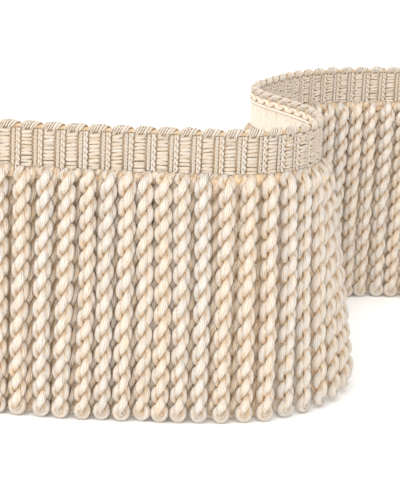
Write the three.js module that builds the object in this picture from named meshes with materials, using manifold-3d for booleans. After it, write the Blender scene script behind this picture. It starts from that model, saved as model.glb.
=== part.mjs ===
// Bullion fringe trim: a woven heading over a skirt of twisted two-ply ropes.
// A length of it stands on its rope ends in an S. Millimetres, +Z up, floor at z = 0.
import * as THREE from 'three';
import Module from 'manifold-3d';

const HEIGHT = 100;          // floor to the tops of the edge bumps
const HEADING = 15;          // height of the woven heading
const REPEAT = 7.3;          // one woven block and the rib beside it
const FIRST_REPEAT = -2;     // repeats are counted from the first whole one in view
const LAST_REPEAT = 43;
const BACK_FACE = -1.2;      // wrong side of the heading, from its middle surface
const BLOCK_RISE = 1.5;
const RIB_RISE = 1.25;
const DIP_RISE = 0.6;
const EDGE_BAND = 3;         // height of the corded top edge
const EDGE_RISE = 1.7;
const EDGE_NOTCH = 1.1;      // notches between the bumps of the corded edge
const BACKING_TALL = 3.4;    // strip that holds the rope roots
const BACKING_HALF = 1.2;
const SEAM_GAP = 0.4;        // between neighbouring lengths, and under the heading
const ROPE_RADIUS = 2.9;
const ROPE_FLAT = 2.6;       // radius across the rope's flatter way
const ROPE_END = 1.6;        // radius of the level end facet
const ROPE_STEPS = 12;
const ROPE_LAY = 13.6;       // height of a quarter turn of the twist
const ROOT_DROP = 0.6;       // root of a rope, below the top of the backing
const ROOT_OUT = 0.7;
const ROW_OUT = 3.1;         // the two rows of ropes hang this far before and behind
const FRONT_ROOT = -0.13;    // roots within a repeat, in repeats
const BACK_ROOT = 0.37;

// the S in plan: where the heading starts, and its turn in degrees per repeat along it
const START = { at: -3, x: -92.2, y: -85.1, turn: -11.62 };
const BENDS = [
  { at: -3, bend: -0.5 },
  { at: 2, bend: 3.5 },
  { at: 5.5, bend: 0 },
  { at: 8.5, bend: 0 },
  { at: 10.5, bend: 13.5 },
  { at: 12.5, bend: 11 },
  { at: 15, bend: 10 },
  { at: 19, bend: 8 },
  { at: 23, bend: -0.5 },
  { at: 26, bend: -10.5 },
  { at: 28, bend: -11 },
  { at: 30, bend: 0 },
  { at: 33, bend: -4.5 },
  { at: 37, bend: -7.5 },
  { at: 41, bend: -7 },
  { at: 45, bend: -7.5 },
];

// how far a rope's end stands from the point under its root: outward, along, and off the floor
const HANG = [
  { at: -3, flare: -2, sway: 0, lift: 0 },
  { at: 5, flare: -2, sway: 0, lift: 0 },
  { at: 6.5, flare: -2, sway: 2, lift: 0 },
  { at: 11, flare: -1.5, sway: 2.3, lift: 0 },
  { at: 13.5, flare: 2.5, sway: 3.3, lift: 0 },
  { at: 15.5, flare: 7, sway: 3.7, lift: 0.8 },
  { at: 18, flare: 15.5, sway: 5, lift: 2.2 },
  { at: 21, flare: 13.5, sway: 3.5, lift: 1.6 },
  { at: 25, flare: 5, sway: 1.5, lift: 0.3 },
  { at: 28, flare: -1, sway: 0, lift: 0 },
  { at: 33, flare: -1, sway: 0, lift: 0 },
  { at: 38, flare: 1, sway: 0, lift: 0 },
  { at: 45, flare: 0, sway: 0, lift: 0 },
];

// how far the ropes of each row have crept along from their even places, in repeats
const ROWS = [
  { at: -3, front: 0, back: -0.31 },
  { at: -1, front: 0, back: -0.28 },
  { at: 2, front: 0, back: -0.13 },
  { at: 3, front: 0, back: -0.09 },
  { at: 4, front: -0.07, back: -0.13 },
  { at: 5, front: -0.18, back: 0.53 },
  { at: 6, front: 0.43, back: 0.34 },
  { at: 7, front: 0.25, back: 0.16 },
  { at: 8, front: 0.07, back: 0.05 },
  { at: 9, front: 0, back: 0.05 },
  { at: 12, front: 0, back: 0.7 },
  { at: 14, front: 0, back: 1 },
  { at: 32, front: 0, back: 1 },
  { at: 33, front: 0, back: 1.06 },
  { at: 37, front: 0, back: 0.5 },
  { at: 40, front: 0, back: 0.17 },
  { at: 43, front: 0, back: -0.12 },
];
const SQUEEZED_FRONT = 5.5;  // one more rope is squeezed into each row here
const SQUEEZED_BACK = 4.5;

// one repeat of the heading's face: rise of the weave, and drop of the top edge
const FACE = [
  { at: -0.5, rise: RIB_RISE, drop: EDGE_NOTCH },
  { at: -0.29, rise: DIP_RISE, drop: 0.25 },
  { at: -0.18, rise: BLOCK_RISE, drop: 0 },
  { at: 0.18, rise: BLOCK_RISE, drop: 0 },
  { at: 0.29, rise: DIP_RISE, drop: 0.25 },
];

// the skirt is held in lengths of backing, parted here
const SEAMS = [0.5, 2.555, 9.145, 13.47, 17.62, 21.62, 25.62, 29.62, 33.62, 38.31];

const HEADING_FOOT = HEIGHT - HEADING;
const BACKING_TOP = HEADING_FOOT - SEAM_GAP;
const BACKING_FOOT = BACKING_TOP - BACKING_TALL;

const wasm = await Module();
wasm.setup();

function read(table, column, at) {
  const next = table.findIndex((row) => row.at >= at);
  if (next === 0) return table[0][column];
  if (next < 0) return table[table.length - 1][column];
  const a = table[next - 1];
  const b = table[next];
  return THREE.MathUtils.mapLinear(at, a.at, b.at, a[column], b[column]);
}

// the plan line, walked in short steps from its start
const WALK = 0.02;
const line = [{ x: START.x, y: START.y, turn: THREE.MathUtils.degToRad(START.turn) }];
for (let at = START.at; at < BENDS[BENDS.length - 1].at; at += WALK) {
  const last = line[line.length - 1];
  const turn = last.turn + THREE.MathUtils.degToRad(read(BENDS, 'bend', at + WALK / 2)) * WALK;
  const middle = (last.turn + turn) / 2;
  const step = WALK * REPEAT;
  line.push({ x: last.x + Math.cos(middle) * step, y: last.y + Math.sin(middle) * step, turn });
}

// a point beside the plan line: along it in repeats, outward to its right side, and up
function place(at, out, z) {
  const s = (at - START.at) / WALK;
  const a = line[Math.floor(s)];
  const b = line[Math.floor(s) + 1];
  const f = s - Math.floor(s);
  const turn = THREE.MathUtils.lerp(a.turn, b.turn, f);
  const x = THREE.MathUtils.lerp(a.x, b.x, f) + Math.sin(turn) * out;
  const y = THREE.MathUtils.lerp(a.y, b.y, f) - Math.cos(turn) * out;
  return new THREE.Vector3(x, y, z);
}

// a closed skin over a row of rings with the same number of points, capped at both ends
function skin(rings) {
  const count = rings[0].length;
  const points = rings.flat().flatMap((p) => [p.x, p.y, p.z]);
  const index = [];
  for (let r = 0; r + 1 < rings.length; r += 1) {
    for (let k = 0; k < count; k += 1) {
      const a = r * count + k;
      const b = r * count + ((k + 1) % count);
      index.push(a, b, a + count);
      index.push(b, b + count, a + count);
    }
  }
  const end = (rings.length - 1) * count;
  for (let k = 1; k + 1 < count; k += 1) {
    index.push(0, k + 1, k);
    index.push(end, end + k, end + k + 1);
  }
  const geometry = new THREE.BufferGeometry();
  geometry.setAttribute('position', new THREE.Float32BufferAttribute(points, 3));
  geometry.setIndex(index);
  return geometry;
}

function solid(geometry) {
  const vertProperties = new Float32Array(geometry.getAttribute('position').array);
  const triVerts = new Uint32Array(geometry.index.array);
  return new wasm.Manifold(new wasm.Mesh({ numProp: 3, vertProperties, triVerts }));
}

function geometryOf(joined) {
  const mesh = joined.getMesh();
  const geometry = new THREE.BufferGeometry();
  geometry.setAttribute('position', new THREE.Float32BufferAttribute(mesh.vertProperties, 3));
  geometry.setIndex(Array.from(mesh.triVerts));
  geometry.computeVertexNormals();
  return geometry;
}

// heading: a flat-backed band with the blocks and ribs raised in its face, corded along the top
function headingGeometry() {
  const edgeFoot = HEIGHT - EDGE_BAND;
  const edgeMiddle = HEIGHT - EDGE_BAND / 2;
  const rings = [];
  const section = (at, rise, drop) => [
    place(at, BACK_FACE, edgeMiddle),
    place(at, EDGE_RISE / 5, HEIGHT - drop),
    place(at, EDGE_RISE - drop / 2, edgeMiddle),
    place(at, rise, edgeFoot),
    place(at, rise, HEADING_FOOT),
    place(at, BACK_FACE, HEADING_FOOT),
  ];
  for (let repeat = FIRST_REPEAT; repeat <= LAST_REPEAT; repeat += 1) {
    for (const { at, rise, drop } of FACE) rings.push(section(repeat + at, rise, drop));
  }
  rings.push(section(LAST_REPEAT + 0.5, RIB_RISE, EDGE_NOTCH));
  return skin(rings);
}

// backing: a narrow strip along part of the plan line
function backing(from, to) {
  const pieces = Math.ceil((to - from) * 2);
  const rings = [];
  for (let i = 0; i <= pieces; i += 1) {
    const at = THREE.MathUtils.lerp(from, to, i / pieces);
    rings.push([
      place(at, -BACKING_HALF, BACKING_TOP),
      place(at, BACKING_HALF, BACKING_TOP),
      place(at, BACKING_HALF, BACKING_FOOT),
      place(at, -BACKING_HALF, BACKING_FOOT),
    ]);
  }
  return solid(skin(rings));
}

function rootOf(repeat, row) {
  if (row > 0) return repeat + FRONT_ROOT + read(ROWS, 'front', repeat);
  return repeat + BACK_ROOT + read(ROWS, 'back', repeat);
}

// rope: a twisted four-sided strand from its root in the backing down to its level end
function rope(repeat, row) {
  const root = rootOf(repeat, row);
  const number = repeat * 2 + (row > 0 ? 0 : 1);
  const flare = read(HANG, 'flare', root) + 0.3 * Math.sin(number * 2.4);
  const sway = (read(HANG, 'sway', root) + 0.3 * Math.sin(number * 1.7 + 1)) / REPEAT;
  const lift = read(HANG, 'lift', root);
  const top = BACKING_TOP - ROOT_DROP;
  const shoulder = BACKING_FOOT - ROPE_RADIUS * 2;
  const ankle = lift + ROPE_RADIUS * 0.7;
  const levels = [
    { z: top, size: 0.32 },
    { z: BACKING_FOOT, size: 0.55 },
  ];
  for (let i = 0; i <= ROPE_STEPS; i += 1) {
    levels.push({ z: THREE.MathUtils.lerp(shoulder, ankle, i / ROPE_STEPS), size: 1 });
  }
  levels.push({ z: lift, size: ROPE_END / ROPE_RADIUS });
  const rings = levels.map(({ z, size }) => {
    const down = (top - z) / (top - lift);
    const settle = THREE.MathUtils.smoothstep(top - z, 0, top - shoulder);
    const base = THREE.MathUtils.lerp(ROOT_OUT * row, ROW_OUT * row, settle);
    const centre = place(root + sway * down, base + flare * down, z);
    const twist = (z / ROPE_LAY + number * 0.37) * (Math.PI / 2);
    const ring = [];
    for (let k = 0; k < 4; k += 1) {
      const radius = size * (k % 2 ? ROPE_FLAT : ROPE_RADIUS);
      const angle = twist - (k * Math.PI) / 2;
      ring.push(new THREE.Vector3(Math.cos(angle), Math.sin(angle), 0).multiplyScalar(radius).add(centre));
    }
    return ring;
  });
  return solid(skin(rings));
}

const ropes = [
  { repeat: SQUEEZED_FRONT, row: 1 },
  { repeat: SQUEEZED_BACK, row: -1 },
];
for (let repeat = FIRST_REPEAT; repeat <= LAST_REPEAT; repeat += 1) {
  ropes.push({ repeat, row: 1 });
  ropes.push({ repeat, row: -1 });
}

// skirt: one length of backing and the ropes that it holds
function skirtGeometry(from, to) {
  let joined = backing(from, to);
  for (const { repeat, row } of ropes) {
    const root = rootOf(repeat, row);
    if (root > from && root < to) joined = joined.add(rope(repeat, row));
  }
  return geometryOf(joined);
}

const woven = new THREE.MeshStandardMaterial({ color: 0xe4d6c2, roughness: 0.92, metalness: 0 });
const twisted = new THREE.MeshStandardMaterial({ color: 0xebdfcd, roughness: 0.9, metalness: 0 });

const trim = new THREE.Group();

const heading = new THREE.Mesh(headingGeometry(), woven);
heading.name = 'heading';
trim.add(heading);

const halfGap = SEAM_GAP / REPEAT / 2;
const starts = [FIRST_REPEAT - 0.5, ...SEAMS.map((seam) => seam + halfGap)];
const finishes = [...SEAMS.map((seam) => seam - halfGap), LAST_REPEAT + 0.5];
starts.forEach((start, i) => {
  const skirt = new THREE.Mesh(skirtGeometry(start, finishes[i]), twisted);
  skirt.name = `skirt_${String(i + 1).padStart(2, '0')}`;
  trim.add(skirt);
});

export default trim;
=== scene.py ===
import math

import bpy
import numpy as np
from mathutils import Matrix, Vector


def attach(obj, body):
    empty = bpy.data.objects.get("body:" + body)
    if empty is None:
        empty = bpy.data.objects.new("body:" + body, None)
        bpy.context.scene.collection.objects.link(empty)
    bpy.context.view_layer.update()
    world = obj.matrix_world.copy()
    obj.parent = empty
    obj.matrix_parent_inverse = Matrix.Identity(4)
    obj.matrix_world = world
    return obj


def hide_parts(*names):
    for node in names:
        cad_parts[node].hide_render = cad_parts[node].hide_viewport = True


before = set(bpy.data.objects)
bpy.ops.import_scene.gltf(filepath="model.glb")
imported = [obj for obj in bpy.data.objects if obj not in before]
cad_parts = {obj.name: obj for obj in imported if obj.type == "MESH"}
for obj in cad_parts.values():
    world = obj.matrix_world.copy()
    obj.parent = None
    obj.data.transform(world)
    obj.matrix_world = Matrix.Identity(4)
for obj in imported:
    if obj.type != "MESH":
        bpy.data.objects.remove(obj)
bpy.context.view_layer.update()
mm = 0.001
chance = np.random.default_rng(11)

# the S that the trim stands in; places along it are counted in repeats of the heading
plan = {
    "repeat": 7.3 * mm,
    "start": (-92.2 * mm, -85.1 * mm, -11.62),  # x, y and direction at the first place in the table
    "at": [-3, 2, 5.5, 8.5, 10.5, 12.5, 15, 19, 23, 26, 28, 30, 33, 37, 41, 45],
    # degrees a repeat
    "bend": [-0.5, 3.5, 0, 0, 13.5, 11, 10, 8, -0.5, -10.5, -11, 0, -4.5, -7.5, -7, -7.5],
    "firstRepeat": -2,
    "lastRepeat": 43,
}
repeats = np.arange(plan["firstRepeat"], plan["lastRepeat"] + 1)
trimStart, trimEnd = plan["firstRepeat"] - 0.5, plan["lastRepeat"] + 0.5

stations = np.linspace(plan["at"][0], plan["at"][-1], 4801)
stationStep = stations[1] - stations[0]


def runningSum(rate):
    return np.concatenate([[0], np.cumsum((rate[1:] + rate[:-1]) / 2 * stationStep)])


bendAlong = np.radians(np.interp(stations, plan["at"], plan["bend"]))
lineTurn = np.radians(plan["start"][2]) + runningSum(bendAlong)
lineX = plan["start"][0] + plan["repeat"] * runningSum(np.cos(lineTurn))
lineY = plan["start"][1] + plan["repeat"] * runningSum(np.sin(lineTurn))


def turnAt(at):
    return np.interp(at, stations, lineTurn)


def place(at, out, z):  # a point beside the line: along it, out to its right side, and up
    at, out, z = np.broadcast_arrays(at, out, z)
    turn = turnAt(at)
    x = np.interp(at, stations, lineX) + np.sin(turn) * out
    y = np.interp(at, stations, lineY) - np.cos(turn) * out
    return np.stack([x, y, z], axis=-1)


def outward(at):
    turn = turnAt(at)
    return np.stack([np.sin(turn), -np.cos(turn), np.zeros_like(turn)], axis=-1)


upward = np.array([0, 0, 1.0])


def unit(v):
    return v / np.linalg.norm(v, axis=-1, keepdims=True)


def smooth(x):
    x = np.clip(x, 0, 1)
    return x * x * (3 - 2 * x)


def roundAngles(around):
    return math.pi + np.linspace(0, 2 * math.pi, around, endpoint=False)


def ringsRound(line, side, across, thick, wide, around):
    thick = np.broadcast_to(thick, len(line))[:, None, None]
    wide = np.broadcast_to(wide, len(line))[:, None, None]
    psi = roundAngles(around)[None, :, None]
    return line[:, None] + thick * np.cos(psi) * side[:, None] + wide * np.sin(psi) * across[:, None]


class Skein:  # gathers tubes of yarn into one mesh
    def __init__(self):
        self.points = []
        self.shades = []
        self.quads = []
        self.quadUvs = []
        self.caps = []
        self.capUvs = []
        self.count = 0

    # side is the way that a tube's outer face looks; the face turned away from it, down in the crevices, is
    # darkened by painted shade
    def addTube(self, line, side, thick, wide, around, yarns=1, twist=0.0, shade=1.0, innerShade=0.0, start=0.0):
        along = unit(np.gradient(line, axis=0))
        side = unit(side - along * np.sum(side * along, axis=1, keepdims=True))
        rings = ringsRound(line, side, np.cross(along, side), thick, wide, around)
        paintedDim = 1 - innerShade * smooth((0.05 - np.cos(roundAngles(around))) / 0.9)
        self.addYarns(line, rings, shade * np.broadcast_to(paintedDim, rings.shape[:2]), yarns, twist, start)

    def addYarns(self, line, rings, shades, yarns, twist, start):  # a tube's skin, with yarns laid along it
        n, around = rings.shape[:2]
        walked = np.concatenate([[0], np.cumsum(np.linalg.norm(np.diff(line, axis=0), axis=1))])
        r, k = np.meshgrid(np.arange(n - 1), np.arange(around), indexing="ij")
        u = start + yarns * np.stack([k, k + 1, k + 1, k], axis=-1) / around
        v = np.stack([walked[r], walked[r], walked[r + 1], walked[r + 1]], axis=-1)
        self.addRings(rings, shades, np.stack([u + twist * v, v / mm], axis=-1))

    def addStrip(self, rings, shade=1.0):
        n, m = rings.shape[:2]
        r, k = np.meshgrid(np.arange(n - 1), np.arange(m), indexing="ij")
        u = np.stack([r, r, r + 1, r + 1], axis=-1)
        v = np.stack([k, k + 1, k + 1, k], axis=-1)
        self.addRings(rings, np.full((n, m), shade), np.stack([u, v], axis=-1))

    def addRings(self, rings, shades, uvs):  # a closed skin over rings of points
        n, m = rings.shape[:2]
        r, k = np.meshgrid(np.arange(n - 1), np.arange(m), indexing="ij")
        k2 = (k + 1) % m
        quad = np.stack([r * m + k, r * m + k2, (r + 1) * m + k2, (r + 1) * m + k], axis=-1)
        self.points.append(rings.reshape(-1, 3))
        self.shades.append(shades.ravel())
        self.quads.append(quad.reshape(-1, 4) + self.count)
        self.quadUvs.append(uvs.reshape(-1, 2))
        for ring, order in ((0, -1), (n - 1, 1)):
            self.caps.append((self.count + ring * m + np.arange(m))[::order].tolist())
            self.capUvs.append(uvs[min(ring, n - 2), :, 0][::order])
        self.count += n * m

    def make(self, name, material):
        mesh = bpy.data.meshes.new(name)
        mesh.from_pydata(np.concatenate(self.points), [], np.concatenate(self.quads).tolist() + self.caps)
        layer = mesh.uv_layers.new(name="yarn")
        layer.data.foreach_set("uv", np.concatenate(self.quadUvs + self.capUvs).astype(np.float32).ravel())
        shade = mesh.attributes.new("shade", "FLOAT", "POINT")
        shade.data.foreach_set("value", np.concatenate(self.shades).astype(np.float32))
        mesh.polygons.foreach_set("use_smooth", np.ones(len(mesh.polygons), bool))
        mesh.materials.append(material)
        mesh.update()
        piece = bpy.data.objects.new(name, mesh)
        bpy.context.scene.collection.objects.link(piece)
        return piece


# cotton, as the ropes and the heading are spun from
def cotton(name, looks):
    material = bpy.data.materials.new(name)
    material.use_nodes = True
    nodes, links = material.node_tree.nodes, material.node_tree.links
    shader = nodes["Principled BSDF"]

    def reckon(kind, *values):
        node = nodes.new("ShaderNodeMath")
        node.operation = kind
        for socket, value in zip(node.inputs, values):
            if hasattr(value, "is_output"):
                links.new(value, socket)
            else:
                socket.default_value = value
        return node.outputs[0]

    def between(value, low, high):  # 0 at low, 1 at high
        node = nodes.new("ShaderNodeMapRange")
        node.inputs["From Min"].default_value = low
        node.inputs["From Max"].default_value = high
        links.new(value, node.inputs["Value"])
        return node.outputs["Result"]

    def streaks(across, along, detail):  # noise drawn out along the yarns
        stretch = nodes.new("ShaderNodeCombineXYZ")
        links.new(reckon("MULTIPLY", u, across), stretch.inputs[0])
        links.new(reckon("MULTIPLY", v, along), stretch.inputs[1])
        noise = nodes.new("ShaderNodeTexNoise")
        noise.inputs["Scale"].default_value = 1.0
        noise.inputs["Detail"].default_value = detail
        links.new(stretch.outputs[0], noise.inputs["Vector"])
        return noise.outputs[0]

    uv = nodes.new("ShaderNodeUVMap")
    uv.uv_map = "yarn"
    split = nodes.new("ShaderNodeSeparateXYZ")
    links.new(uv.outputs[0], split.inputs[0])
    u, v = split.outputs[0], split.outputs[1]

    # painted shade in the dips between the yarns lying side by side, and fibres drawn out along them
    middle = reckon("SUBTRACT", reckon("MULTIPLY", reckon("FRACT", u), 2.0), 1.0)
    dip = reckon("POWER", reckon("ABSOLUTE", middle), 3.0)
    fibre = between(streaks(looks["fibresAcross"], looks["fibresAlong"], 3.0), 0.3, 0.7)
    fleck = between(streaks(looks["flecksAcross"], looks["flecksAlong"], 1.0), 0.58, 0.72)

    # each yarn a little lighter or darker than the next, with broad clouds over all
    cell = nodes.new("ShaderNodeTexWhiteNoise")
    cell.noise_dimensions = "1D"
    links.new(reckon("FLOOR", u), cell.inputs["W"])
    where = nodes.new("ShaderNodeTexCoord")
    cloud = nodes.new("ShaderNodeTexNoise")
    cloud.inputs["Scale"].default_value = looks["cloudScale"]
    cloud.inputs["Detail"].default_value = 2.0
    links.new(where.outputs["Object"], cloud.inputs["Vector"])
    shade = nodes.new("ShaderNodeAttribute")
    shade.attribute_name = "shade"

    level = shade.outputs["Fac"]
    # painted shade in the dips between yarns; then fibre streaks, flecks, darker yarns and clouds, the
    # cotton's own colour
    level = reckon("SUBTRACT", level, reckon("MULTIPLY", dip, looks["dipShadeShare"]))
    level = reckon("SUBTRACT", level, reckon("MULTIPLY", fibre, looks["fibreShare"]))
    level = reckon("SUBTRACT", level, reckon("MULTIPLY", fleck, looks["fleckShare"]))
    level = reckon("SUBTRACT", level, reckon("MULTIPLY", cell.outputs["Value"], looks["cellShare"]))
    level = reckon("SUBTRACT", level, reckon("MULTIPLY", cloud.outputs[0], looks["cloudShare"]))
    # level runs from the deep tan through the middle tan to the light cream: the tans colour flecks and
    # darker yarns, and also the painted shade, warm as light bounced in the crevices is
    ramp = nodes.new("ShaderNodeValToRGB")
    ramp.color_ramp.elements[0].color = (*looks["deep"], 1)
    ramp.color_ramp.elements[1].color = (*looks["light"], 1)
    ramp.color_ramp.elements[1].position = 0.88
    ramp.color_ramp.elements.new(looks["middleAt"]).color = (*looks["middle"], 1)
    links.new(level, ramp.inputs[0])
    links.new(ramp.outputs[0], shader.inputs["Base Color"])

    dipHeight = reckon("MULTIPLY", dip, -looks["dipBump"])
    height = reckon("SUBTRACT", dipHeight, reckon("MULTIPLY", fibre, looks["fibreBump"]))
    bump = nodes.new("ShaderNodeBump")
    bump.inputs["Distance"].default_value = looks["bumpHeight"]
    links.new(height, bump.inputs["Height"])
    links.new(bump.outputs[0], shader.inputs["Normal"])
    shader.inputs["Roughness"].default_value = looks["roughness"]
    shader.inputs["Specular IOR Level"].default_value = looks["specular"]
    shader.inputs["Sheen Weight"].default_value = looks["sheen"]
    shader.inputs["Sheen Roughness"].default_value = 0.4
    return material


ropeCotton = cotton("ropeCotton", {
    "light": (0.695, 0.665, 0.63), "middle": (0.80, 0.60, 0.39), "deep": (0.58, 0.34, 0.15),
    "middleAt": 0.42,
    "dipShadeShare": 0.12, "fibreShare": 0.20, "fleckShare": 0.34, "cellShare": 0.12, "cloudShare": 0.10,
    "dipBump": 1.0, "fibreBump": 0.9, "bumpHeight": 0.22 * mm,
    "fibresAcross": 2.2, "fibresAlong": 0.45, "flecksAcross": 1.3, "flecksAlong": 0.22, "cloudScale": 110.0,
    "roughness": 0.8, "specular": 0.3, "sheen": 0.15,
})
headingLooks = {
    "light": (0.605, 0.56, 0.505), "middle": (0.58, 0.425, 0.26), "deep": (0.40, 0.22, 0.09),
    "middleAt": 0.42,
    "dipShadeShare": 0.12, "fibreShare": 0.15, "fleckShare": 0.25, "cellShare": 0.10, "cloudShare": 0.15,
    "dipBump": 0.7, "fibreBump": 0.7, "bumpHeight": 0.06 * mm,
    "fibresAcross": 2.5, "fibresAlong": 1.6, "flecksAcross": 1.7, "flecksAlong": 0.9, "cloudScale": 160.0,
    "roughness": 0.85, "specular": 0.25, "sheen": 0.15,
}
headingCotton = cotton("headingCotton", headingLooks)
wrongSidePaintedLightCotton = cotton("wrongSidePaintedLightCotton", {  # a little paler: painted light, as the wrong side is the same cotton as the front and gets less light
    **headingLooks, "light": (0.84, 0.765, 0.675), "middle": (0.70, 0.525, 0.35),
})
print("cotton ready")


# skirt: cabled ropes of two plies, each ply two strands twisted the other way, so that a strand comes
# out in turn at the front, the sides and the back; at the end the strands go round in a loop and up again
rope = {
    "top": 85.2 * mm,
    "rootOut": (0.5 * mm, 0.2 * mm),  # front row, back row
    "shoulder": 79.5 * mm,  # below here a rope hangs free in its row
    "rowOut": 2.3 * mm,
    "frontRoot": -0.13,  # in repeats
    "backRoot": 0.37,
    "plyLine": 1.35 * mm,  # from the rope's axis to the middle of a ply
    "strandLine": 0.71 * mm,  # from there to the middle of a strand
    "thick": (0.97 * mm, 1.7 * mm),  # half a strand, where it shows and where it is hidden
    "wide": (1.72 * mm, 0.85 * mm),
    "turn": 13.6 * mm,  # height of a whole turn
    "fullness": 0.8,  # how long a strand stays outside; 1 is a plain wave
    "step": 0.9 * mm,
    "around": 8,
    "yarns": 11,
    "yarnTurn": 70.0 * mm,
    "drawnIn": 0.45,  # size at the root
    "drawnLength": 3.0 * mm,  # from the root down to full size
    "wander": 0.22 * mm,  # off a straight line
    "waver": 0.25,  # radians that the twist runs ahead or behind
    "waverHeight": 11 * mm,
    "uneven": 0.04,  # in a strand's girth
    "unevenPace": 0.55,  # radians a step
    "loopSteps": 7,
    "creviceShade": 0.27,  # painted shade: how much darker and tanner it is down between the strands
    "creviceFrom": 0.80,  # share of the rope's radius where it begins
    "creviceOver": 0.30,
    "creviceInLoop": 0.2,
    "between": 0.14,  # painted shade: how much darker and tanner it is where the two rows face each other
}
hang = {  # where an end stands from below its root: outward, along and off the floor, in millimetres
    "at": [-3, 5, 6.5, 11, 13.5, 15.5, 18, 21, 25, 28, 33, 38, 45],
    "flare": [-2, -2, -2, -1.5, 2.5, 7, 15.5, 13.5, 5, -1, -1, 1, 0],
    "sway": [0, 0, 2, 2.3, 3.3, 3.7, 5, 3.5, 1.5, 0, 0, 0, 0],
    "lift": [0, 0, 0, 0, 0, 0.8, 2.2, 1.6, 0.3, 0, 0, 0, 0],
    "stray": 0.3,  # of one end from the next
}
rows = {  # how far the ropes of each row have crept along from their even places, in repeats
    "at": [-3, -1, 2, 3, 4, 5, 6, 7, 8, 9, 12, 14, 32, 33, 37, 40, 43],
    "front": [0, 0, 0, 0, -0.07, -0.18, 0.43, 0.25, 0.07, 0, 0, 0, 0, 0, 0, 0, 0],
    "back": [-0.31, -0.28, -0.13, -0.09, -0.13, 0.53, 0.34, 0.16, 0.05,
             0.05, 0.7, 1, 1, 1.06, 0.5, 0.17, -0.12],
    "squeezed": [(5.5, 1), (4.5, -1)],  # one more rope is squeezed into each row here
    # between lengths of backing
    "seams": [0.5, 2.555, 9.145, 13.47, 17.62, 21.62, 25.62, 29.62, 33.62, 38.31],
}


def rootOf(repeat, row):
    if row > 0:
        return repeat + rope["frontRoot"] + np.interp(repeat, rows["at"], rows["front"])
    return repeat + rope["backRoot"] + np.interp(repeat, rows["at"], rows["back"])


def bulge(wave):
    return np.sign(wave) * np.abs(wave) ** rope["fullness"]


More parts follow.
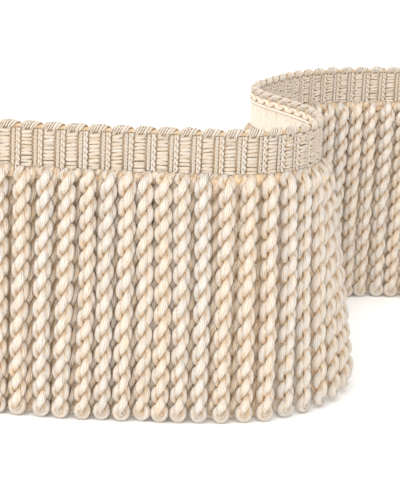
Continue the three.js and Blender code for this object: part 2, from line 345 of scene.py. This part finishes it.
def addRope(skein, repeat, row):
    root = rootOf(repeat, row)
    number = repeat * 2 + (0 if row > 0 else 1)
    flare = (np.interp(root, hang["at"], hang["flare"]) + hang["stray"] * math.sin(number * 2.4)) * mm
    sway = np.interp(root, hang["at"], hang["sway"]) + hang["stray"] * math.sin(number * 1.7 + 1)
    sway = sway * mm / plan["repeat"]
    lift = np.interp(root, hang["at"], hang["lift"]) * mm
    wave = chance.uniform(0, 6.28, 4)
    size = chance.normal(1.0, 0.025)
    far = (rope["plyLine"] + rope["strandLine"]) * size
    near = (rope["plyLine"] - rope["strandLine"]) * size
    lower = lift + far + rope["thick"][0] * size * (1 + rope["uneven"])
    z = np.linspace(rope["top"], lower, round((rope["top"] - lower) / rope["step"]))

    # the rope's own middle line
    down = (rope["top"] - z) / (rope["top"] - lift)
    settle = smooth((rope["top"] - z) / (rope["top"] - rope["shoulder"]))
    wander = rope["wander"] * settle
    rootOut = rope["rootOut"][0 if row > 0 else 1]
    out = row * (rootOut + (rope["rowOut"] - rootOut) * settle) + flare * down
    out = out + wander * np.sin(down * 7 + wave[0])
    middle = place(root + sway * down + wander * np.sin(down * 6 + wave[1]) / plan["repeat"], out, z)

    # two strands come out to the sides at the end of the rope, and two are then hidden within
    face = turnAt(root) - row * math.pi / 2 + chance.normal(0, 0.2)
    front = np.array([math.cos(face), math.sin(face), 0])
    right = np.array([-math.sin(face), math.cos(face), 0])
    lay = 2 * math.pi / rope["turn"] * chance.normal(1.0, 0.02)
    turn = lay * (z - lower) + rope["waver"] * np.sin((z - lower) / rope["waverHeight"])
    drawn = rope["drawnIn"] + (1 - rope["drawnIn"]) * np.sqrt(smooth((rope["top"] - z) / rope["drawnLength"]))
    bend = np.linspace(0, math.pi, rope["loopSteps"] + 2)[1:-1, None]

    def downAndUp(strand, loop):  # along a strand, round its loop and back up
        return np.concatenate([strand, loop, strand[::-1]])

    shade = chance.normal(1.0, 0.03)
    for pair in ("sides", "faces"):
        if pair == "sides":
            shown = np.cos(turn)
            offset = far * bulge(shown)[:, None] * right - near * np.sin(turn)[:, None] * front
            loopSide = np.cos(bend) * right - np.sin(bend) * upward
            loop = far * loopSide
            side = np.concatenate([np.tile(right, (len(z), 1)), loopSide, np.tile(-right, (len(z), 1))])
            across = np.tile(front, (len(side), 1))
        else:
            shown = np.sin(turn)
            offset = far * bulge(shown)[:, None] * front - near * np.cos(turn)[:, None] * right
            loopSide = -np.cos(bend) * right - np.sin(bend) * upward
            loop = near * loopSide
            across = np.concatenate([np.tile(-right, (len(z), 1)), loopSide, np.tile(right, (len(z), 1))])
            side = np.tile(front, (len(across), 1))
        offset = offset * drawn[:, None]
        axis = downAndUp(middle, np.tile(middle[-1], (len(bend), 1)))
        line = axis + np.concatenate([offset, loop, -offset[::-1]])
        hidden = 1 - downAndUp(shown, np.full(len(bend), shown[-1])) ** 2
        fullSize = downAndUp(drawn, np.ones(len(bend)))
        girth = size * fullSize
        girth = girth * (1 + rope["uneven"] * np.sin(np.arange(len(line)) * rope["unevenPace"] + wave[3]))
        thick = girth * (rope["thick"][0] + (rope["thick"][1] - rope["thick"][0]) * hidden)
        wide = girth * (rope["wide"][0] + (rope["wide"][1] - rope["wide"][0]) * hidden)
        rings = ringsRound(line, side, across, thick, wide, rope["around"])

        # painted shade, darker and tanner, down in the crevices and where the rows face each other
        spoke = rings - axis[:, None]
        reach = np.linalg.norm(spoke, axis=2)
        outermost = (far + rope["thick"][0] * size) * fullSize
        creviceShade = rope["creviceShade"] * downAndUp(np.ones(len(z)), np.full(len(bend), rope["creviceInLoop"]))
        depth = smooth((rope["creviceFrom"] - reach / outermost[:, None]) / rope["creviceOver"])
        shades = shade * (1 - creviceShade[:, None] * depth)
        # painted shade on the faces that the two rows turn towards each other
        facing = row * np.sum(spoke * outward(np.array([root])), axis=2) / np.maximum(reach, 0.01 * mm)
        shades = shades * (1 - rope["between"] * smooth((0.2 - facing) / 0.9))
        skein.addYarns(line, rings, shades, rope["yarns"], rope["yarns"] / rope["yarnTurn"],
                       40 * number + (0 if pair == "sides" else 20))


# the backing is darker: painted shade, as it lies back among the rope tops under the heading
backing = {"foot": 81.0 * mm, "top": 84.85 * mm, "half": 0.35 * mm, "shade": 0.7, "gap": 0.4 * mm}

allRopes = rows["squeezed"] + [(int(repeat), row) for repeat in repeats for row in (1, -1)]
halfGap = backing["gap"] / plan["repeat"] / 2
starts = [trimStart] + [seam + halfGap for seam in rows["seams"]]
finishes = [seam - halfGap for seam in rows["seams"]] + [trimEnd]
for i, (begin, finish) in enumerate(zip(starts, finishes), 1):
    skein = Skein()
    for repeat, row in allRopes:
        if begin < rootOf(repeat, row) < finish:
            addRope(skein, repeat, row)
    at = np.linspace(begin, finish, 4 * math.ceil(finish - begin) + 1)
    corners = [(-1, "top"), (1, "top"), (1, "foot"), (-1, "foot")]
    rings = [place(at, s * backing["half"], backing[level]) for s, level in corners]
    skein.addStrip(np.stack(rings, axis=1), backing["shade"])
    piece = skein.make("ropes_%02d" % i, ropeCotton)
    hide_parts("skirt_%02d" % i)
    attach(piece, "root")


# heading: the woven tape, with its floats, ribs and overcast edge laid in yarn
heading = {
    "foot": 85.0 * mm,
    "top": 98.6 * mm,
    "back": -1.0 * mm,
    "front": 0.1 * mm,
    # the tape is darker: painted shade, as it shows only in the gaps between floats and ribs
    "shade": 0.8,
}

tapeSkein = Skein()
at = np.linspace(trimStart, trimEnd, len(repeats) * 6 + 1)
corners = [("back", "top"), ("front", "top"), ("front", "foot"), ("back", "foot")]
rings = [place(at, heading[face], heading[level]) for face, level in corners]
tapeSkein.addStrip(np.stack(rings, axis=1), heading["shade"])
tape = tapeSkein.make("heading_tape", headingCotton)

floats = {
    "bundles": 10,
    "yarnsEach": 3,
    "foot": 84.8 * mm,
    "top": 96.7 * mm,
    "halfWide": 0.262,  # in repeats
    "rise": 1.0 * mm,
    "tilt": 0.16 * mm,
    "yarn": 0.23 * mm,
    "spread": 0.44,  # of the height that a bundle has
    "pinch": 0.5,  # how much a bundle narrows at its ends
    "squareness": 3.2,
    "points": 9,
    "around": 5,
    # necks beside the hole over each block: place in the repeat and lean
    "necks": [(-0.2, 0.05), (-0.13, 0.03), (0.13, 0.05), (0.2, 0.06)],
    "neckBelow": 0.3 * mm,
    "neckRise": 1.4 * mm,
    "neckOut": 0.55 * mm,
    "neckYarn": (0.26 * mm, 0.28 * mm),
}
floatSkein = Skein()
pitch = (floats["top"] - floats["foot"]) / floats["bundles"]
across = np.linspace(-1, 1, floats["points"])
crown = np.sqrt(np.clip(1 - np.abs(across) ** floats["squareness"], 0, 1))
for repeat in repeats:
    for bundle in range(floats["bundles"]):
        level = floats["foot"] + (bundle + 0.5) * pitch + chance.normal(0, 0.06) * mm
        tilt = floats["tilt"] + chance.normal(0, 0.12) * mm
        bow = chance.normal(0.05, 0.08) * mm
        fat = chance.normal(1.0, 0.09)
        for yarn in range(floats["yarnsEach"]):
            q = (yarn + 0.5) / floats["yarnsEach"] * 2 - 1
            pinch = 1 - floats["pinch"] * np.abs(across) ** 3
            z = level + q * pitch * floats["spread"] * pinch + tilt * across + bow * (1 - across ** 2)
            z = z + chance.normal(0, 0.03) * mm
            out = heading["front"] + floats["rise"] * fat * (0.12 + 0.88 * crown) * (1 - 0.28 * q * q)
            at = repeat + floats["halfWide"] * across * chance.normal(1.0, 0.03)
            girth = floats["yarn"] * fat * (0.75 + 0.25 * crown)
            # each yarn a little lighter or darker at random; painted shade on the outer yarns of a bundle,
            # between bundles, and towards the float's ends where it dips into the tape
            shade = chance.normal(1.04, 0.05) * (1 - 0.3 * q * q) * (0.7 + 0.3 * crown)[:, None]
            floatSkein.addTube(place(at, out, z), outward(at), girth, girth * 1.1, floats["around"],
                               shade=shade, innerShade=0.4, start=yarn + 5 * bundle + 50 * repeat)
    for spot, lean in floats["necks"]:
        t = np.linspace(0, 1, 4)
        at = repeat + spot + lean * t
        z = floats["top"] - floats["neckBelow"] + floats["neckRise"] * t
        neck = place(at, heading["front"] + floats["neckOut"], z)
        floatSkein.addTube(neck, outward(at), *floats["neckYarn"], floats["around"], shade=0.95, innerShade=0.4,
                           start=70 * repeat + 300 * spot)
floatPiece = floatSkein.make("heading_floats", headingCotton)

ribs = {
    "columns": [  # place in the repeat; in millimetres: half width, yarn, height of a link, sway, rise
        {"place": 0.395, "half": 0.22, "yarn": 0.30, "link": 1.15, "sway": 0.10, "rise": 0.45},
        {"place": 0.605, "half": 0.33, "yarn": 0.43, "link": 2.0, "sway": 0.12, "rise": 0.58},
    ],
    "foot": 85.1 * mm,
    "top": 97.5 * mm,
    "step": 0.32 * mm,
    "around": 6,
}
ribSkein = Skein()
z = np.arange(ribs["foot"], ribs["top"], ribs["step"])
for repeat in range(plan["firstRepeat"] - 1, plan["lastRepeat"] + 1):
    for column in ribs["columns"]:
        centre = repeat + column["place"]
        if not trimStart < centre < trimEnd:
            continue
        phase = chance.uniform(0, 6.28)
        turn = 2 * math.pi * z / (column["link"] * mm) + phase + 0.5 * np.sin(z / (2.3 * mm) + phase)
        for hand in (-1, 1):
            beside = hand * (column["half"] + column["sway"] * np.cos(turn)) * mm
            rise = (column["rise"] + 0.5 * column["yarn"] * np.sin(turn + hand * 0.9)) * mm
            at = centre + beside / plan["repeat"]
            girth = column["yarn"] * mm * (1 + 0.16 * np.sin(turn + hand * 0.9))
            ribSkein.addTube(place(at, heading["front"] + rise, z), outward(at), girth, girth, ribs["around"],
                             yarns=3, twist=3 * hand / (2.6 * mm), shade=chance.normal(1.0, 0.04), innerShade=0.5,
                             start=9 * repeat + 3 * hand)
ribPiece = ribSkein.make("heading_ribs", headingCotton)

edge = {
    "centre": 98.2 * mm,
    "out": -0.05 * mm,
    "reach": 1.15 * mm,
    "lean": 0.16,  # repeats, from the front to the top
    "strands": [  # foot in the repeat, and in millimetres the radius and the rise
        {"foot": -0.26, "radius": 0.27, "rise": 1.10},
        {"foot": -0.145, "radius": 0.28, "rise": 1.34},
        {"foot": -0.03, "radius": 0.28, "rise": 1.45},
        {"foot": 0.085, "radius": 0.28, "rise": 1.36},
        {"foot": 0.23, "radius": 0.46, "rise": 1.22},
        {"foot": 0.37, "radius": 0.38, "rise": 1.00},
    ],
    "core": 0.72 * mm,
    "coreBelow": 0.25 * mm,
    "steps": 15,
    "around": 7,
    "overlap": 0.62,  # radians that a strand goes on below the middle, before and behind
    "hairs": 7,
    "hairYarn": 0.055 * mm,
}
edgeSkein = Skein()
at = np.linspace(trimStart, trimEnd, len(repeats) * 8 + 1)
core = place(at, edge["out"], edge["centre"] - edge["coreBelow"])
# the core is darker: painted shade, as it shows only in the notches between the strands and under them
edgeSkein.addTube(core, outward(at), edge["core"], edge["core"], 8, yarns=8, twist=8 / (6 * mm), shade=0.72)
around = np.linspace(-edge["overlap"], math.pi + edge["overlap"], edge["steps"])
for repeat in repeats:
    for strand in edge["strands"]:
        foot = repeat + strand["foot"]
        at = np.clip(foot + edge["lean"] * around / (math.pi / 2), trimStart, trimEnd)
        rise = strand["rise"] * chance.normal(1.0, 0.05) * mm
        radius = strand["radius"] * chance.normal(1.0, 0.06) * mm
        out = edge["out"] + edge["reach"] * np.cos(around)
        z = edge["centre"] + rise * np.sin(around)
        side = outward(at) * np.cos(around)[:, None] + upward * np.sin(around)[:, None]
        girth = radius * (0.8 + 0.2 * np.sin(np.clip(around, 0, math.pi)))
        edgeSkein.addTube(place(at, out, z), side, girth, girth * 1.1, edge["around"], yarns=5,
                          twist=5 / (4 * mm), shade=chance.normal(1.02, 0.03), innerShade=0.5, start=11 * repeat)
    for hair in range(edge["hairs"]):  # loose fibres
        foot = repeat + chance.uniform(-0.3, 0.55)
        reach = chance.uniform(0.5, 1.3) * mm
        t = np.linspace(0, 1, 4)
        drift = chance.normal(0.06, 0.08) * t + chance.normal(0, 0.04) * t * t
        at = np.clip(foot + drift, trimStart, trimEnd)
        out = edge["out"] + chance.normal(0.2, 0.4) * mm + chance.normal(0, 0.4) * mm * t
        z = edge["centre"] + 1.2 * mm + reach * (t - 0.35 * t * t)
        edgeSkein.addTube(place(at, out, z), outward(at), edge["hairYarn"], edge["hairYarn"], 3)
edgePiece = edgeSkein.make("heading_edge", headingCotton)

wrongSide = {
    "warps": 10,  # upright yarns in a repeat
    "warpFoot": 85.1 * mm,
    "warpTop": 94.4 * mm,
    "warpYarn": 0.37 * mm,
    "warpThick": 0.28 * mm,
    "warpRipple": 0.06 * mm,
    "dotLevel": 91.6 * mm,  # a small hole parts the yarns here, once a repeat
    "dotHeight": 0.6 * mm,
    "dotSpread": 0.05,
    "dotReach": 0.1,
    "ridge": 94.6 * mm,
    "ridgeYarn": 0.36 * mm,
    "ridgeOut": 0.35 * mm,
    "ridgeTwist": 0.22 * mm,
    "zigzag": 96.25 * mm,
    "zigzagRise": 0.85 * mm,
    "zigzagYarn": 0.34 * mm,
    "zigzagYarns": 4,
    "zigzagShift": 0.085,  # repeats from one yarn to the next
    "zigzagOut": 0.28 * mm,
    "out": -1.0 * mm,
}
backSkein = Skein()
z = np.linspace(wrongSide["warpFoot"], wrongSide["warpTop"], 12)
for count in range(len(repeats) * wrongSide["warps"]):
    spot = (count + 0.5) / wrongSide["warps"]
    nearDot = (spot % 1) - 0.5
    parted = wrongSide["dotSpread"] * np.sign(nearDot) * (abs(nearDot) < wrongSide["dotReach"])
    at = trimStart + spot + parted * np.exp(-((z - wrongSide["dotLevel"]) / wrongSide["dotHeight"]) ** 2)
    ripple = wrongSide["warpRipple"] * np.sin(z / (0.55 * mm) + count * math.pi)
    # the warps' shade above 1 is painted light, lifting the wrong side, which gets less light
    backSkein.addTube(place(at, wrongSide["out"] - ripple, z), -outward(at),
                      wrongSide["warpThick"], wrongSide["warpYarn"], 5, yarns=2, twist=2 / (3 * mm),
                      shade=chance.normal(1.08, 0.03), innerShade=0.4, start=3 * count)
at = np.linspace(trimStart, trimEnd, len(repeats) * 12 + 1)
for ply in (0, math.pi):
    turn = 2 * math.pi * at * 2 + ply
    out = wrongSide["out"] - wrongSide["ridgeOut"] - wrongSide["ridgeTwist"] * np.cos(turn)
    level = wrongSide["ridge"] + wrongSide["ridgeTwist"] * np.sin(turn)
    backSkein.addTube(place(at, out, level), -outward(at), wrongSide["ridgeYarn"], wrongSide["ridgeYarn"], 6,
                      yarns=4, twist=4 / (4 * mm), shade=1.02, innerShade=0.4)
for yarn in range(wrongSide["zigzagYarns"]):
    shift = (yarn - (wrongSide["zigzagYarns"] - 1) / 2) * wrongSide["zigzagShift"]
    wave = np.sin(2 * math.pi * (at + shift))
    out = wrongSide["out"] - wrongSide["zigzagOut"] - 0.1 * mm * np.cos(2 * math.pi * at * 2)
    backSkein.addTube(place(at, out, wrongSide["zigzag"] + wrongSide["zigzagRise"] * wave), -outward(at),
                      wrongSide["zigzagYarn"], wrongSide["zigzagYarn"], 6, yarns=4, twist=4 / (4 * mm),
                      shade=0.98, innerShade=0.4, start=7 * yarn)
backPiece = backSkein.make("heading_wrong_side", wrongSidePaintedLightCotton)

headingPieces = [tape, floatPiece, ribPiece, edgePiece, backPiece]
for piece in headingPieces:
    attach(piece, "root")
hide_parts("heading")
print("heading done", sum(len(p.data.polygons) for p in headingPieces) * 2, "triangles")


# floor and light
studio = {
    "floorSize": 12.0,
    "floorColour": (0.97, 0.97, 0.97),
    "floorRoughness": 0.9,
    "world": (1.0, 0.985, 0.965),
    "worldStrength": 0.78,
    "lamps": [  # from where, how strong, and how wide in degrees, for soft shadows
        {"name": "keyLight", "from": (-0.6, -0.8, 0.8), "strength": 0.7, "spread": 40.0},
        {"name": "frontLight", "from": (-0.06, -1.0, 0.27), "strength": 1.25, "spread": 12.0},
        {"name": "topLight", "from": (-0.2, -0.1, 1.0), "strength": 1.7, "spread": 60.0},
    ],
    "lampColour": (1.0, 0.985, 0.965),
}
floorFinish = bpy.data.materials.new("paleFloor")
floorFinish.use_nodes = True
floorShader = floorFinish.node_tree.nodes["Principled BSDF"]
floorShader.inputs["Base Color"].default_value = (*studio["floorColour"], 1)
floorShader.inputs["Roughness"].default_value = studio["floorRoughness"]
floorShader.inputs["Specular IOR Level"].default_value = 0.1
half = studio["floorSize"] / 2
floorMesh = bpy.data.meshes.new("floor")
floorCorners = [(-half, -half, 0), (half, -half, 0), (half, half, 0), (-half, half, 0)]
floorMesh.from_pydata(floorCorners, [], [(0, 1, 2, 3)])
floorMesh.materials.append(floorFinish)
floor = bpy.data.objects.new("floor", floorMesh)
bpy.context.scene.collection.objects.link(floor)

world = bpy.data.worlds.new("studio")
world.use_nodes = True
world.node_tree.nodes["Background"].inputs["Color"].default_value = (*studio["world"], 1)
world.node_tree.nodes["Background"].inputs["Strength"].default_value = studio["worldStrength"]
bpy.context.scene.world = world

for lamp in studio["lamps"]:
    sun = bpy.data.lights.new(lamp["name"], "SUN")
    sun.energy = lamp["strength"]
    sun.angle = math.radians(lamp["spread"])
    sun.color = studio["lampColour"]
    holder = bpy.data.objects.new(lamp["name"], sun)
    holder.location = lamp["from"]
    holder.rotation_euler = (-Vector(lamp["from"])).to_track_quat("-Z", "Y").to_euler()
    bpy.context.scene.collection.objects.link(holder)

# camera, at the picture's own view
view = {
    "spot": (-6.19 * mm, -641.03 * mm, 190.91 * mm),
    "pitch": 13.427,
    "roll": 2.622,
    "focalPixels": 1730.2,
    "pictureHeight": 500,  # pixels
}
camera = bpy.data.cameras.new("camera")
camera.sensor_width = 36
camera.lens = view["focalPixels"] / view["pictureHeight"] * camera.sensor_width
camera.clip_start = 0.01
camera.clip_end = 50
eye = bpy.data.objects.new("camera", camera)
turnDown = Matrix.Rotation(math.radians(90 - view["pitch"]), 4, "X")
turnSideways = Matrix.Rotation(math.radians(view["roll"]), 4, "Z")
eye.matrix_world = Matrix.Translation(view["spot"]) @ turnDown @ turnSideways
bpy.context.scene.collection.objects.link(eye)
bpy.context.scene.camera = eye
bpy.context.scene.view_settings.view_transform = "Standard"
print("studio done")
